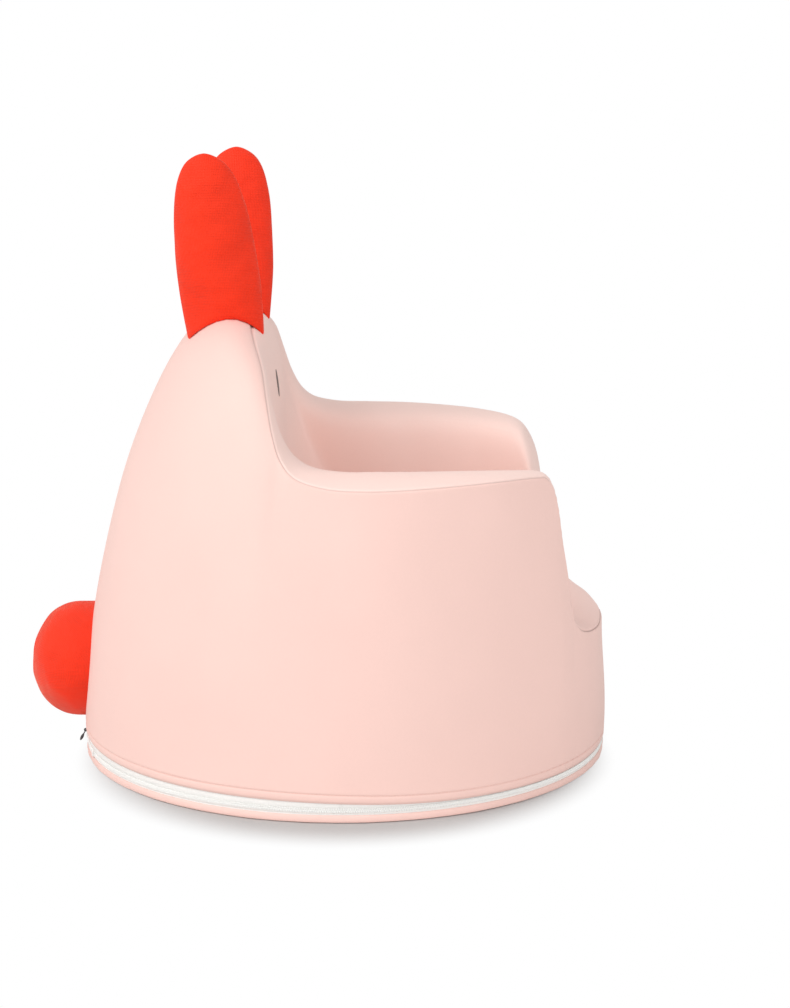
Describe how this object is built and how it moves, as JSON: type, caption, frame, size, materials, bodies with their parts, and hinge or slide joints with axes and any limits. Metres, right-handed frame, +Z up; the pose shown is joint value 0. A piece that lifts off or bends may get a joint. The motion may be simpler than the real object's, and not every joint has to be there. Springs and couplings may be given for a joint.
{
  "type": "kids sofa",
  "caption": "Child's round foam sofa with a domed back, arms, a low seat, stuffed ears, a stuffed tail and a zip round the floor edge.",
  "frame": {"origin": "centre of the round base, on the floor", "axes": "+Z up; the seat opens towards -Y and the tail is at +Y; +X is the left-hand side of a child who sits in it"},
  "size_m": [0.5212, 0.5766, 0.597],
  "materials": {
    "cover_pink": "smooth soft cover cloth, matt with a faint sheen",
    "band_pink": "the same cloth in a lighter shade",
    "foam": "soft upholstery foam",
    "woven_red": "coarse plain weave, matt",
    "filling": "loose polyester fibre",
    "eye_thread": "satin-stitch embroidery",
    "zip_white": "woven tape and nylon coil",
    "zip_grey": "dark grey paint, satin"
  },
  "bodies": {
    "body": {"outer_cover_panel": "cover_pink", "top_band": "band_pink", "inner_cover_panel": "cover_pink", "seat_cover_panel": "cover_pink", "base_cover_panel": "cover_pink", "base_strip": "cover_pink", "back_foam": "foam", "arm_foam_right": "foam", "arm_foam_left": "foam", "seat_pad_foam": "foam", "base_foam": "foam", "ear_cover_right": "woven_red", "ear_cover_left": "woven_red", "ear_filling_right": "filling", "ear_filling_left": "filling", "tail_cover": "woven_red", "tail_filling": "filling", "eye_right": "eye_thread", "eye_left": "eye_thread", "zip_tape_upper": "zip_white", "zip_tape_lower": "zip_white", "zip_teeth_upper": "zip_white", "zip_teeth_lower": "zip_white", "zip_top_stop": "zip_grey", "zip_end_stop": "zip_grey"},
    "slider": {"zip_slider": "zip_grey"},
    "pull": {"zip_pull": "zip_grey"}
  },
  "joints": [
    {"name": "zip_travel", "type": "hinge", "parent": "body", "child": "slider", "pos_m": [0, 0, 0.0118], "axis": [0, 0, -1], "range_deg": [0, 340]},
    {"name": "pull_swing", "type": "hinge", "parent": "slider", "child": "pull", "pos_m": [0, 0.26325, 0.0118], "axis": [1, 0, 0], "range_deg": [-4, 122]}
  ]
}
